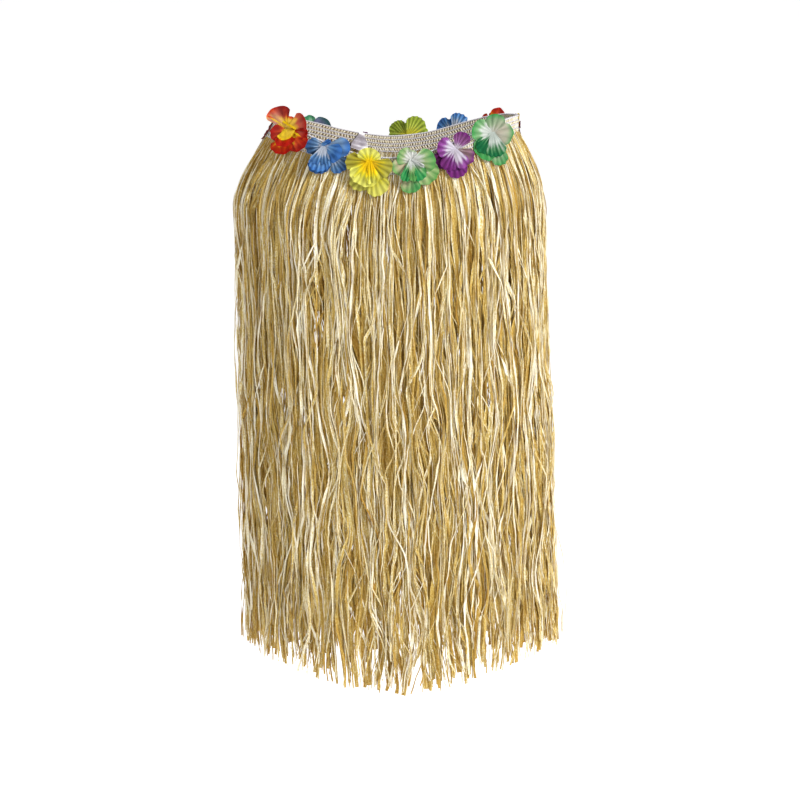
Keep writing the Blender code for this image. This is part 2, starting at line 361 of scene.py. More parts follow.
class Nodes:
    """A short way to write a material's node tree."""

    def __init__(self, name):
        self.material = bpy.data.materials.new(name)
        self.material.use_nodes = True
        self.tree = self.material.node_tree
        self.tree.nodes.clear()

    def add(self, kind, inputs=None, **settings):
        node = self.tree.nodes.new("ShaderNode" + kind)
        for key, value in settings.items():
            setattr(node, key, value)
        for key, value in (inputs or {}).items():
            self.put(value, node.inputs[key])
        return node

    def put(self, value, socket):
        if isinstance(value, bpy.types.NodeSocket):
            self.tree.links.new(value, socket)
        else:
            socket.default_value = value

    def math(self, operation, first, second=0.0, clamp=False):
        node = self.add("Math", operation=operation, use_clamp=clamp)
        self.put(first, node.inputs[0])
        self.put(second, node.inputs[1])
        return node.outputs[0]

    def plus(self, first, second, clamp=False):
        return self.math("ADD", first, second, clamp)

    def minus(self, first, second):
        return self.math("SUBTRACT", first, second)

    def times(self, first, second, clamp=False):
        return self.math("MULTIPLY", first, second, clamp)

    def scaled(self, value, factor, offset):
        scaled = self.math("MULTIPLY_ADD", value, factor)
        scaled.node.inputs[2].default_value = offset
        return scaled

    def about_half(self, value, factor):
        """The value's distance from a half, times the factor."""
        return self.times(self.minus(value, 0.5), factor)

    def spread(self, value, least, most, low=0.0, high=1.0):
        """The value on a new scale: low at least and high at most, and held between them."""
        limits = {"From Min": least, "From Max": most, "To Min": low, "To Max": high}
        return self.add("MapRange", {"Value": value, **limits}).outputs[0]

    def mix(self, share, first, second, blend="MIX"):
        node = self.add("Mix", data_type="RGBA", blend_type=blend)
        self.put(share, node.inputs[0])
        self.put(first, node.inputs[6])
        self.put(second, node.inputs[7])
        return node.outputs[2]

    def ramp(self, share, stops):
        node = self.add("ValToRGB")
        self.put(share, node.inputs[0])
        points = node.color_ramp.elements
        while len(points) < len(stops):
            points.new(0.5)
        for point, (place, colour) in zip(points, stops):
            point.position = place
            point.color = colour
        return node.outputs[0]

    def grain(self, x, y, own=0.0, scale=1.0, detail=2.0):
        """Noise over two values, each given with how finely the noise runs along it."""
        place = self.vector(self.times(*x), self.times(*y), own)
        return self.noise(place, scale, detail)

    def noise(self, vector, scale, detail):
        node = self.add("TexNoise", {"Vector": vector, "Scale": scale, "Detail": detail})
        return node.outputs["Fac"]

    def attribute(self, name):
        return self.add("Attribute", attribute_name=name).outputs["Fac"]

    def uv(self, name):
        """The UV map's two values, apart."""
        place = self.add("UVMap", uv_map=name).outputs[0]
        apart = self.add("SeparateXYZ", {0: place})
        return apart.outputs[0], apart.outputs[1]

    def vector(self, x, y, z=0.0):
        return self.add("CombineXYZ", {0: x, 1: y, 2: z}).outputs[0]

    def bump(self, height, distance):
        return self.add("Bump", {"Height": height, "Distance": distance}).outputs[0]

    def finish(self, colour, normal, roughness, see_light=0.0, glow_colour=None, **shine):
        """Ends in a Principled shader, with a share of translucency."""
        shader = self.add("BsdfPrincipled", {"Base Color": colour, "Normal": normal})
        self.put(roughness, shader.inputs["Roughness"])
        for key, value in shine.items():
            shader.inputs[key.replace("_", " ")].default_value = value
        surface = shader.outputs[0]
        if see_light:
            through = self.add("BsdfTranslucent", {"Normal": normal})
            self.put(glow_colour or colour, through.inputs["Color"])
            mixed = self.add("MixShader", {0: see_light})
            self.tree.links.new(surface, mixed.inputs[1])
            self.tree.links.new(through.outputs[0], mixed.inputs[2])
            surface = mixed.outputs[0]
        output = self.add("OutputMaterial")
        self.tree.links.new(surface, output.inputs[0])
        return self.material


def raffia_finish():
    """Dry palm fibre: long streaks, a tint for each ribbon, browner here and there."""
    n = Nodes("raffia_look")
    across, down = n.uv("strand")
    tint = n.attribute("tint")
    own = n.times(n.attribute("own"), 37.0)
    streak = n.grain((across, 5.0), (down, 20.0), own, detail=3.0)
    fibre = n.grain((across, 26.0), (down, 90.0), own)
    stretch = n.grain((across, 0.0), (down, 7.0), own)
    level = n.scaled(tint, 0.62, -0.14)
    level = n.plus(level, n.times(streak, 0.52))
    level = n.plus(level, n.times(fibre, 0.26))
    level = n.plus(level, n.about_half(stretch, 0.40))
    # Painted light and shade: the crinkle noise that bumps the ribbon also makes its colour
    # lighter and darker.
    crinkle = n.grain((across, 4.0), (down, 380.0), own, detail=4.0)
    level = n.plus(level, n.about_half(crinkle, 1.10))
    # Painted highlight and shade: a ribbon's edges are made lighter and its middle darker.
    edge = n.spread(n.math("ABSOLUTE", n.minus(across, 0.5)), 0.24, 0.46)
    level = n.plus(level, n.times(n.minus(edge, 0.35), 0.13))
    colour = n.ramp(level, tones(*RAFFIA_TONES))
    height = n.plus(n.times(streak, 0.4), n.times(fibre, 0.3))
    height = n.plus(height, n.times(crinkle, 0.7))
    glow = n.mix(1.0, colour, srgb(*RAFFIA_GLOW), "MULTIPLY")
    return n.finish(
        colour, n.bump(height, 0.0009), roughness=0.50, see_light=0.20, glow_colour=glow,
        Specular_IOR_Level=0.20,
    )


def petal_finish(name):
    """Dyed cloth, pale or yellow at the heart, with dye streaks that run to the rim."""
    heart, middle, rim, dark_dye_and_shade, back = (srgb(*values) for values in PETAL_LOOKS[name])
    n = Nodes("petal_" + name + "_look")
    across, reach = n.uv("petal")
    own = n.times(n.attribute("own"), 23.0)
    streak = n.grain((across, 11.0), (reach, 1.0), own)
    blotch = n.grain((across, 2.4), (reach, 1.0), own, 2.4, 3.0)
    dye = n.plus(reach, n.minus(0.45, n.attribute("pale")))
    dye = n.plus(dye, n.about_half(streak, 0.36))
    dye = n.plus(dye, n.about_half(blotch, 0.45))
    # Painted light and shade: ridges move towards the paler heart colour and creases towards the
    # rim.
    dye = n.minus(dye, n.times(n.attribute("fold"), 0.10))
    colour = n.ramp(dye, [(0.34, heart), (0.56, middle), (0.88, rim)])
    patch = n.scaled(blotch, 0.8, 0.6)
    inside = n.spread(reach, 0.98, 0.72)
    greyness = n.times(n.attribute("grey"), n.times(inside, patch))
    colour = n.mix(n.math("MINIMUM", greyness, 1.0), colour, back)
    # Painted shade in the creases: they darken towards the darker colour.
    creases = n.times(n.attribute("fold"), -0.22, clamp=True)
    # The darker colour is partly deeper dye and partly painted shade on petals that lie in
    # shade.
    outward = n.spread(dye, 0.26, 0.70, 0.1)
    dye_and_shade_share = n.times(n.times(n.attribute("dark_dye_and_shade"), patch), outward, clamp=True)
    colour = n.mix(n.plus(dye_and_shade_share, creases, clamp=True), colour, dark_dye_and_shade)
    # Painted highlight on the pleat ridges and painted shade in the creases.
    ridge_light_and_crease_shade = n.spread(n.attribute("fold"), -1.0, 1.0, 0.76, 1.24)
    colour = n.mix(1.0, colour, n.vector(ridge_light_and_crease_shade, ridge_light_and_crease_shade, ridge_light_and_crease_shade), "MULTIPLY")
    weave = n.times(
        n.math("SINE", n.times(across, 210.0)), n.math("SINE", n.times(reach, 260.0))
    )
    height = n.plus(n.times(weave, 0.25), streak)
    return n.finish(
        colour, n.bump(height, 0.0004), roughness=0.50, see_light=0.16, Specular_IOR_Level=0.12
    )


def cord_finish():
    """Elastic thread: a pale lilac-white twist."""
    n = Nodes("elastic_look")
    along, round_it = n.uv("band")
    twist = n.math("SINE", n.plus(n.times(along, 2600.0), n.times(round_it, 12.6)))
    patch = n.grain((along, 60.0), (round_it, 1.0))
    share = n.plus(n.scaled(twist, 0.18, 0.30), n.times(patch, 0.4))
    colour = n.ramp(share, tones(*CORD_TONES))
    return n.finish(colour, n.bump(twist, 0.0003), roughness=0.62, Sheen_Weight=0.2)


def stitch_finish():
    """Raffia wound between the cords."""
    n = Nodes("stitch_look")
    along, round_it = n.uv("band")
    own = n.times(n.attribute("own"), 31.0)
    streak = n.grain((along, 3.0), (round_it, 12.0), own, detail=3.0)
    # Each stitch's own tone sets its colour; on the inner face it is lifted as painted light.
    level = n.plus(n.times(n.attribute("own"), 0.45), n.times(streak, 0.6))
    colour = n.ramp(level, tones(*STITCH_TONES))
    return n.finish(colour, n.bump(streak, 0.0004), roughness=0.50, see_light=0.08)


def core_finish():
    """What shows in the holes between the stitches: dark brown, painted shade in the holes."""
    n = Nodes("band_core_painted_shade_look")
    along, up = n.uv("band")
    knit = n.grain((along, 900.0), (up, 700.0))
    colour = n.ramp(knit, tones(*CORE_PAINTED_SHADE_TONES))
    return n.finish(colour, n.bump(knit, 0.0005), roughness=0.80)


def satin_finish():
    """A blank satin ribbon, pale lilac grey, with light on its fold and one corner."""
    n = Nodes("satin_look")
    across, down = n.uv("ribbon")
    thread = n.math("SINE", n.times(down, 900.0))
    cloud = n.grain((across, 3.0), (down, 90.0), detail=3.0)
    cloth = n.ramp(cloud, tones(*SATIN_TONES))
    # Painted highlights: the fold at the top and one lower corner are made near white.
    fold = n.spread(n.plus(down, n.times(across, 0.0050)), 0.0078, 0.0050)
    corner = n.times(n.minus(1.0, across), n.times(down, 1.0 / TAG_LENGTH))
    lit = n.math("MAXIMUM", fold, n.spread(corner, 0.50, 0.66))
    colour = n.mix(lit, cloth, srgb(*SATIN_HIGHLIGHT))
    height = n.plus(thread, cloud)
    return n.finish(
        colour, n.bump(height, 0.0002), roughness=0.34, see_light=0.12, Sheen_Weight=0.3
    )


# ---------------------------------------------------------------- fringe


def kinked(rng, count, drops, gap, step, keep=OWN_KEEP):
    """Broken lines, one a row: straight stretches, with a bend every gap = (least, most) metres.

    step = (at the root, at the hem) is how far one bend leads the next astray. A few odd ones
    go further.
    """
    paths = np.zeros((count, len(drops)))
    for row in range(count):
        knots, values = [0.0], [0.0]
        while knots[-1] < drops[-1]:
            knots.append(knots[-1] + rng.uniform(*gap))
            size = between(step, min(knots[-1] / FRINGE_DROP, 1.0))
            if rng.random() < ODD_SHARE:
                size *= ODD_SIZE
            values.append(keep * values[-1] + rng.laplace(0.0, size))
        paths[row] = np.interp(drops, knots, values)
    return paths


def walk(rng, count, drops, gap, spread):
    """Values that wander smoothly between knots: one row for each strand."""
    knots = np.arange(0.0, drops[-1] + 2.0 * gap, gap)
    values = rng.normal(0.0, spread, (count, len(knots)))
    shifts = rng.uniform(0.0, gap, count)
    return np.array([np.interp(drops + shift, knots, row) for shift, row in zip(shifts, values)])


def sway(travelled, drops):
    """The ribbons' places once the waves that they share have moved them."""
    size = SWAY_SIZE * ease(drops / SWAY_WAVES[0][1])
    moved = travelled
    for number, (round_it, down) in enumerate(SWAY_WAVES):
        turns = round_it * travelled / WAIST_LENGTH + drops / down * (-1.0) ** number
        moved = moved + size * np.sin(2.0 * math.pi * turns + SWAY_PHASE * number)
    return moved


def gentle(travelled, drops):
    """The same lines with their steepest stretches made less steep."""
    most = MOST_SLOPE * np.diff(drops, axis=1)
    steps = np.clip(np.diff(travelled, axis=1), -most, most)
    return travelled[:, :1] + np.concatenate(
        [np.zeros((len(steps), 1)), np.cumsum(steps, axis=1)], axis=1
    )


def ribbon_points(travelled, out_by, drops, width, twist, fold_one, fold_two):
    """The points of ribbons folded at two lines: strand, ring, RIBBON_POINTS across, xyz."""
    angle = angle_at(travelled)
    middle = fringe_point(angle, drops, out_by)
    _, out, _ = waist_axes(angle)
    tangent = unit(np.gradient(middle, axis=1))
    facing = unit(out - tangent * np.sum(out * tangent, axis=-1, keepdims=True))
    side = np.cross(facing, tangent)
    cos, sin = np.cos(twist)[..., None], np.sin(twist)[..., None]
    across = side * cos + facing * sin
    normal = facing * cos - side * sin
    third = (width / 3.0)[..., None]
    one, two = fold_one[..., None], fold_two[..., None]
    left = middle - across * 0.5 * third
    right = middle + across * 0.5 * third
    far_left = left - (across * np.cos(one) + normal * np.sin(one)) * third
    far_right = right + (across * np.cos(two) + normal * np.sin(two)) * third
    return np.stack([far_left, left, right, far_right], axis=2)


def round_waist(rng, count):
    """Places all round the waist, about evenly apart."""
    uneven = rng.uniform(-PLACE_UNEVEN, PLACE_UNEVEN, count)
    return (np.arange(count) + 0.5 + uneven) / count * WAIST_LENGTH


def build_ribbons(rng, group):
    """A group of ribbons: the points of each, with its drops, tint and root."""
    count, clumps = group["count"], group["clumps"]
    longest = np.linspace(0.0, FRINGE_DROP + 2.0 * TIP_UNEVEN, RIBBON_RINGS)

    def draw(ends):
        """A value in this range for each ribbon."""
        return rng.uniform(*ends, count)[:, None]

    def along_each(paths):
        """The paths' values at each ribbon's own drops."""
        return np.array([np.interp(drop, longest, path) for drop, path in zip(drops, paths)])

    lengths = FRINGE_DROP + ROOT_TUCK + draw((-TIP_UNEVEN, TIP_UNEVEN))
    short = rng.random(count)[:, None] < SHORT_SHARE
    lengths = lengths - short * draw(SHORT_SHARES) * SHORT_BY
    drops = lengths * np.linspace(0.0, 1.0, RIBBON_RINGS)[None, :]

    homes = round_waist(rng, clumps)
    clump_paths = kinked(rng, clumps, longest, CLUMP_BENDS, group["clump_step"], CLUMP_KEEP)
    roots = round_waist(rng, count)

    def clump_middle(index):
        """The middle of each ribbon's clump, also for an index past the ends."""
        home = homes[index % clumps] + WAIST_LENGTH * (index // clumps)
        return home[:, None] + along_each(clump_paths[index % clumps]) * HANG_TO_WAIST

    index = np.floor(roots / WAIST_LENGTH * clumps).astype(int)
    middle = clump_middle(index)
    for heights in CLUMP_CHANGES:
        steps = rng.choice(CLUMP_STEPS, count) * (rng.random(count) < CLUMP_CHANGE_SHARE)
        index = index + steps
        change_at, change_over = draw(heights), draw(CLUMP_CHANGE_OVER)
        moved = np.clip((drops - change_at) / change_over, 0.0, 1.0)
        middle = middle + (clump_middle(index) - middle) * moved
    middle = middle + rng.normal(0.0, group["spread"], count)[:, None]
    own = along_each(kinked(rng, count, longest, OWN_BENDS, group["own_step"]))
    pull = between(group["pull"], drops / FRINGE_DROP) * ease(drops / CLUMP_START)
    loose = roots[:, None] + own * HANG_TO_WAIST
    travelled = loose + (middle - loose) * pull
    crumple = along_each(walk(rng, count, longest, CRUMPLE_LENGTH, CRUMPLE))
    travelled = travelled + crumple * ease(drops / CRUMPLE_START)
    travelled = gentle(sway(travelled, drops), drops)

    hang = ease(drops / HIP_DROP)
    out_by = draw(group["layer"]) * between(LAYER_OUT, hang)
    out_by = out_by + along_each(kinked(rng, count, longest, OWN_BENDS, OUT_STEP)) * hang

    size = group["width"] * np.exp(rng.normal(0.0, RIBBON_WIDTH_SPREAD, count))
    size = np.clip(size, *RIBBON_WIDTHS)[:, None]
    root = between((ROOT_WIDTH_SHARE, 1.0), ease(drops / ROOT_LENGTH))
    uneven = 1.0 + walk(rng, count, longest, WIDTH_KNOTS, group["uneven"])
    point, taper_over = draw(TIP_WIDTHS), draw(TIP_TAPERS)
    tip = between((point, 1.0), np.clip((lengths - drops) / taper_over, 0.0, 1.0))
    width = size * root * np.clip(uneven, *WIDTH_SHARES) * tip

    most_twist = math.radians(group["twist"])
    twist = rng.normal(0.0, most_twist, count)[:, None]
    twist = twist + walk(rng, count, longest, TWIST_KNOTS, most_twist)
    chances = (0.5 * group["turns"], 1.0 - group["turns"], 0.5 * group["turns"])
    for _ in range(TURN_TRIES):
        where, over = draw(TURN_AT), draw(TURN_OVER)
        turns = rng.choice([-1.0, 0.0, 1.0], count, p=chances)[:, None]
        twist = twist + math.pi * turns * ease((drops - where) / over)
    twist = twist * ease(drops / TWIST_START)
    curls = rng.normal(0.0, FOLD_SPREAD, (2, count, 1))
    folds = [curl + walk(rng, count, longest, FOLD_KNOTS, FOLD_WANDER) for curl in curls]
    points = ribbon_points(travelled, out_by, drops, width, twist, *folds)

    tint = between(group["tint"], rng.beta(*group["tint_shape"], count))[:, None]
    # The tint wanders along each ribbon: partly the fibre's own uneven colour, partly painted
    # highlight that comes and goes as a bright ribbon twists.
    fade = walk(rng, count, longest, TINT_KNOTS, group["fade"])
    # Painted light: the roots inside the back are made lighter, where they lie in the band's
    # shade.
    painted_light_at_back = np.clip(BACK_STEEPNESS * np.sin(angle_at(roots)), 0.0, 1.0)[:, None]
    fade = fade + BACK_ROOT_PAINTED_LIGHT * painted_light_at_back * (1.0 - ease(drops / BACK_ROOT_LENGTH))
    return points, drops, np.clip(tint + fade, 0.0, 1.0), roots


def build_wisps(rng):
    """Thin split fibres that stray from the rest: their points, drops and tint."""
    lengths = FRINGE_DROP + ROOT_TUCK - rng.uniform(*WISP_SHORTER, WISPS)
    drops = lengths[:, None] * np.linspace(0.0, 1.0, WISP_RINGS)[None, :]
    grid = np.linspace(0.0, FRINGE_DROP, WISP_RINGS)
    roots = (np.arange(WISPS) + rng.uniform(0.0, 1.0, WISPS)) / WISPS * WAIST_LENGTH
    stray = kinked(rng, WISPS, grid, WISP_BENDS, WISP_STEP, WISP_KEEP)
    travelled = gentle(sway(roots[:, None] + stray * HANG_TO_WAIST, drops), drops)
    hang = ease(drops / HIP_DROP)
    out_by = rng.uniform(*WISP_LAYERS, WISPS)[:, None] * between(WISP_OUT, hang)
    out_by = out_by + kinked(rng, WISPS, grid, WISP_OUT_BENDS, WISP_OUT_STEP) * hang
    width = WISP_WIDTH * rng.uniform(*WISP_WIDTHS, WISPS)[:, None] * np.ones_like(drops)
    twist = walk(rng, WISPS, grid, WISP_KNOTS, WISP_TWIST)
    fold = walk(rng, WISPS, grid, WISP_KNOTS, WISP_FOLD)
    points = ribbon_points(travelled, out_by, drops, width, twist, fold, -fold)
    tint = np.broadcast_to(rng.beta(*WISP_TINT_SHAPE, WISPS)[:, None], drops.shape)
    return points, drops, tint


def fringe_piece(rng, name, points, drops, tint, finish):
    """Ribbons as one piece, each with its tint and a number of its own."""
    count, rings = drops.shape
    own = rng.random(count)[:, None, None]
    across = np.linspace(0.0, 1.0, RIBBON_POINTS)
    grids = (count, rings, RIBBON_POINTS)
    piece = mesh_object(
        name,
        points,
        many_grids(*grids),
        finish,
        stacked(across, drops[:, :, None]),
        "strand",
        {"tint": np.broadcast_to(tint[:, :, None], grids), "own": np.broadcast_to(own, grids)},
        smooth=False,
    )
    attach(piece, "root")
    return piece


def build_fringe(rng):
    """The ribbons, in a piece for each quarter, and the wisps."""
    finish = raffia_finish()
    made = [build_ribbons(rng, dict(zip(GROUP_COLUMNS, values))) for values in GROUPS]
    points, drops, tint, roots = (np.concatenate(parts) for parts in zip(*made))
    quarter = np.floor(angle_at(roots) / (0.5 * math.pi)).astype(int)
    names = ("fringe_back_right", "fringe_back_left", "fringe_front_left", "fringe_front_right")
    pieces = []
    for number, name in enumerate(names):
        chosen = quarter == number
        piece = fringe_piece(rng, name, points[chosen], drops[chosen], tint[chosen], finish)
        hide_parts("fringe_outer", "fringe_inner")
        pieces.append(piece)
    pieces.append(fringe_piece(rng, "fringe_wisps", *build_wisps(rng), finish))
    return pieces


# ---------------------------------------------------------------- waistband

BAND_STATIONS = 720
BAND_OUT = 0.00150
CORE_WALL = 0.0012
CORE_SHORT = 0.0006
CORDS = 5
CORD_RADIUS_OUT = 0.00160
CORD_RADIUS_UP = 0.00125
CORD_SIDES = 6
CORD_TWIST_LENGTH = 0.0052
CORD_LOBE = 0.14
CORD_KNOTS = 0.03
CORD_WANDER = 0.00022
STITCH_PITCH = 0.0037
STITCH_STRETCH = 0.36
STITCH_LENGTH = 0.0048
STITCH_WIDTH = 0.0029
STITCH_HEIGHT = 0.0012
STITCH_SINK = 0.0002
STITCH_OPEN = 0.02
STITCH_LEAN = math.radians(28)
STITCH_LEAN_SPREAD = 0.12
STITCH_UNEVEN = 0.10
STITCH_SIZES = (0.88, 1.10)
# How much a stitch closes towards its ends and flattens towards its sides, of the square.
STITCH_ENDS = 0.80
STITCH_SIDES = 0.85
STITCH_GRID = (5, 5)
# How light the stitches on the band's inner face are at the least: painted light against the
# shade inside the band.
INSIDE_PAINTED_LIGHT = 0.30
# Where the band is pulled open: from and to in radians, how gradually at each, and how much.
STRETCHES = (
    (0.58 * math.pi, 1.15 * math.pi, 0.15, 0.3, 1.0),
    (0.0, 0.45 * math.pi, 0.3, 0.2, 0.5),
)


def cord_heights():
    """The cords' middles, up the band's face."""
    top = 0.5 * BAND_HEIGHT - CORD_RADIUS_UP
    return np.linspace(-top, top, CORDS)


def build_band(rng):
    """The waistband: elastic cords and raffia stitches over a thin core."""
    travelled = np.linspace(0.0, WAIST_LENGTH, BAND_STATIONS, endpoint=False)[:, None]
    angle = angle_at(travelled)

    half, wall = 0.5 * BAND_HEIGHT - CORE_SHORT, 0.5 * CORE_WALL
    up_by = np.array([-half, half, half, -half])
    band = mesh_object(
        "band_core",
        waist_point(angle, np.array([wall, wall, -wall, -wall]), up_by),
        grid_faces(BAND_STATIONS, len(up_by), True, True),
        core_finish(),
        stacked(travelled, up_by),
        "band",
    )

    turn = np.linspace(0.0, 2.0 * math.pi, CORD_SIDES, endpoint=False)[None, :]
    lobes = np.cos(2.0 * turn - 2.0 * math.pi * travelled / CORD_TWIST_LENGTH)
    lobes = 1.0 + CORD_LOBE * lobes
    out_by = CORD_RADIUS_OUT * lobes * np.cos(turn)
    rings = []
    for height in cord_heights():
        wander = walk(rng, 1, travelled[:, 0], CORD_KNOTS, CORD_WANDER)[0][:, None]
        up_by = height + wander + CORD_RADIUS_UP * lobes * np.sin(turn)
        rings.append(waist_point(angle, out_by, up_by))
    cords = mesh_object(
        "band_cords",
        rings,
        many_grids(CORDS, BAND_STATIONS, CORD_SIDES, True, True),
        cord_finish(),
        [stacked(travelled, turn / (2.0 * math.pi))] * CORDS,
        "band",
    )
    stitches = build_stitches(rng)
    for piece in (band, cords, stitches):
        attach(piece, "root")
        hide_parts("waistband")


def stretched(angle):
    """How far the band is pulled open there: most at the back on the left."""
    return sum(
        most * ease((angle - start) / opens_over) * ease((end - angle) / closes_over)
        for start, end, opens_over, closes_over, most in STRETCHES
    )


def build_stitches(rng):
    """Slanted windings of raffia between each pair of cords, on both faces of the band."""
    heights = cord_heights()
    rows = 0.5 * (heights[1:] + heights[:-1])
    pitch = STITCH_PITCH * (1.0 + STITCH_STRETCH * stretched(FINE_ANGLES))
    passed = summed(np.diff(FINE_LENGTHS) / pitch[1:])
    count = int(passed[-1])
    long_share = np.linspace(-1.0, 1.0, STITCH_GRID[0])[:, None]
    wide_share = np.linspace(-1.0, 1.0, STITCH_GRID[1])[None, :]
    narrow = np.sqrt(1.0 - STITCH_ENDS * long_share ** 2)
    rise = STITCH_HEIGHT * narrow * np.sqrt(1.0 - STITCH_SIDES * wide_share ** 2)
    points, own = [], []
    for face in (1.0, -1.0):
        out_by = face * (0.5 * CORE_WALL - STITCH_SINK + rise)
        for number, height in enumerate(rows):
            turn = np.arange(count) + 0.5 * (number % 2)
            turn = turn + rng.uniform(-STITCH_UNEVEN, STITCH_UNEVEN, count)
            places = np.interp(turn * passed[-1] / count, passed, FINE_LENGTHS)[:, None, None]
            slant = STITCH_LEAN * (1.0 if number % 2 else -1.0) * face
            slants = slant + rng.normal(0.0, STITCH_LEAN_SPREAD, count)[:, None, None]
            sizes = rng.uniform(*STITCH_SIZES, count)[:, None, None]
            tone_and_painted_light = rng.random(count)
            # Each stitch has a random tone; on the inner face it is lifted as painted light.
            if face < 0.0:
                tone_and_painted_light = between((INSIDE_PAINTED_LIGHT, 1.0), tone_and_painted_light)
            opened = 1.0 - STITCH_OPEN * stretched(angle_at(places))
            up = 0.5 * STITCH_LENGTH * sizes * long_share
            side = 0.5 * STITCH_WIDTH * opened * sizes * wide_share * narrow
            along = side * np.cos(slants) + up * np.sin(slants)
            upward = up * np.cos(slants) - side * np.sin(slants)
            points.append(waist_point(angle_at(places + along), out_by, height + upward))
            own.append(np.repeat(tone_and_painted_light, rise.size))
    stitches = len(points) * count
    return mesh_object(
        "band_stitches",
        points,
        many_grids(stitches, *STITCH_GRID),
        stitch_finish(),
        [stacked(0.5 + 0.5 * long_share, 0.5 + 0.5 * wide_share)] * stitches,
        "band",
        {"own": own},
    )


# ---------------------------------------------------------------- flowers

# Each flower's place on the part, and what it is dyed.
# turn: degrees round the upright from the garment's own facing; spin: the first inner petal's
# direction where no table gives the inner petals; pleat: how strong its pleats are; wrap: how
# far it bends round the waist with the band.
FLOWER_COLUMNS = ("angle", "rise", "size", "turn", "spin", "look", "pleat", "wrap")
FLOWERS = (
    (-148.1, 0.011, 1.04, 28, 0, "red", 0.45, 0),
    (-121, -0.002, 0.98, 12, 0, "blue", 0.85, 0),
    (-101, -0.008, 1.02, 0, 0, "yellow", 0.85, 0),
    (-81.6, -0.008, 1, 0, 0, "olive", 0.6, 0),
    (-62, -0.003, 0.94, -10, 0, "purple", 0.9, 0),
    (-40, -0.006, 0.98, -24, 0, "green", 0.6, 0),
    (10, 0, 0.6, 0, 0, "red", 0.8, 1),
    (38, 0, 0.8, 0, 81, "red", 0.6, 0),
    (61.3, 0.004, 0.9, 0, 93, "blue", 1.25, 0),
    (83.5, 0.011, 0.92, 0, 87, "lime", 1.3, 0),
    (104.3, -0.012, 0.84, 0, 51, "purple", 1, 0),
    (129, -0.006, 0.94, 0, 111, "teal", 0.6, 0),
    (166.8, -0.002, 0.76, 0, 0, "red", 0.8, 1),
)
